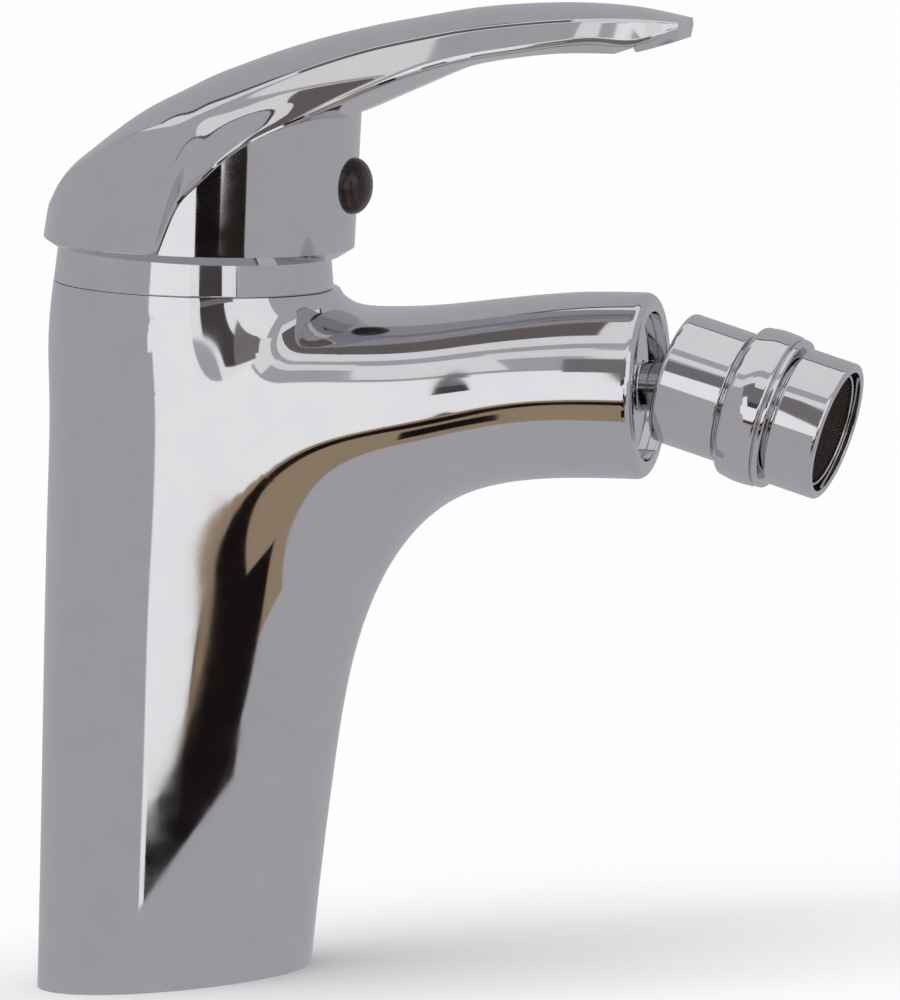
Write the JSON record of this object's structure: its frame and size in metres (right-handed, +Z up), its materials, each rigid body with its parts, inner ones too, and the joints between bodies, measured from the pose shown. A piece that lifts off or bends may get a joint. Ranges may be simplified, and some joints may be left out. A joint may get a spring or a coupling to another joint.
{
  "type": "bidet mixer",
  "caption": "Chromed single-lever bidet mixer: a leaning column with a short round spout, an arched lever on top and a ball-jointed aerator that can be tilted.",
  "frame": {"origin": "centre of the base, on the deck plane", "axes": "+Z up from the deck, +X along the spout towards the user, +Y to the left of someone looking along +X"},
  "size_m": [0.1528, 0.0548, 0.1622],
  "materials": {
    "chromed_brass": "polished chrome plate on brass",
    "chromed_lever": "polished chrome plate on zinc",
    "nut_brass": "turned brass",
    "black_rubber": "matt",
    "cartridge_plastic": "moulded",
    "ceramic_disc": "lapped ceramic",
    "steel": "machined",
    "index_dark": "glossy dark plug",
    "liner_white": "low-friction moulding",
    "screen_wire": "woven wire"
  },
  "bodies": {
    "mixer_body": {"body_casting": "chromed_brass", "base_gasket": "black_rubber", "cartridge_base": "cartridge_plastic", "inlet_seals": "black_rubber", "fixed_disc": "ceramic_disc", "cartridge_housing": "cartridge_plastic", "cartridge_o_ring": "black_rubber", "retaining_nut": "nut_brass", "nut_o_ring": "black_rubber", "cover_ring": "chromed_brass", "ball_stem": "chromed_brass", "stem_seal": "black_rubber"},
    "turning_cap": {"rotor": "cartridge_plastic", "pivot_pin": "steel"},
    "disc": {"moving_disc": "ceramic_disc", "disc_carrier": "cartridge_plastic"},
    "lever": {"spindle": "steel", "lever_handle": "chromed_lever", "grub_screw": "steel", "index_plug": "index_dark"},
    "swivel": {"ball_liner": "liner_white"},
    "nozzle": {"swivel_housing": "chromed_brass", "lock_collar": "chromed_brass", "aerator_housing": "chromed_brass", "aerator_washer": "black_rubber", "flow_insert": "cartridge_plastic", "inner_screen": "screen_wire", "outer_screen": "screen_wire", "screen_ring": "chromed_brass"}
  },
  "joints": [
    {"name": "lever_turn", "type": "hinge", "parent": "mixer_body", "child": "turning_cap", "pos_m": [0.01453, 0, 0.11831], "axis": [0.1219, 0, 0.9925], "range_deg": [-45, 45]},
    {"name": "lever_lift", "type": "hinge", "parent": "turning_cap", "child": "lever", "pos_m": [0.01453, 0, 0.11831], "axis": [0, -1, 0], "range_deg": [0, 25]},
    {"name": "disc_slide", "type": "slide", "parent": "turning_cap", "child": "disc", "axis": [0.9925, 0, -0.1219], "range_m": [0, 0.0064]},
    {"name": "nozzle_yaw", "type": "hinge", "parent": "mixer_body", "child": "swivel", "pos_m": [0.10428, 0, 0.0944], "axis": [0.1219, 0, 0.9925], "range_deg": [-4, 12]},
    {"name": "nozzle_pitch", "type": "hinge", "parent": "swivel", "child": "nozzle", "pos_m": [0.10428, 0, 0.0944], "axis": [0.0692, 0.9976, -0.0085], "range_deg": [-30.6, 1.4]}
  ],
  "couplings": [
    {"joint": "disc_slide", "follows": "lever_lift", "m_per_rad": 0.01445}
  ]
}
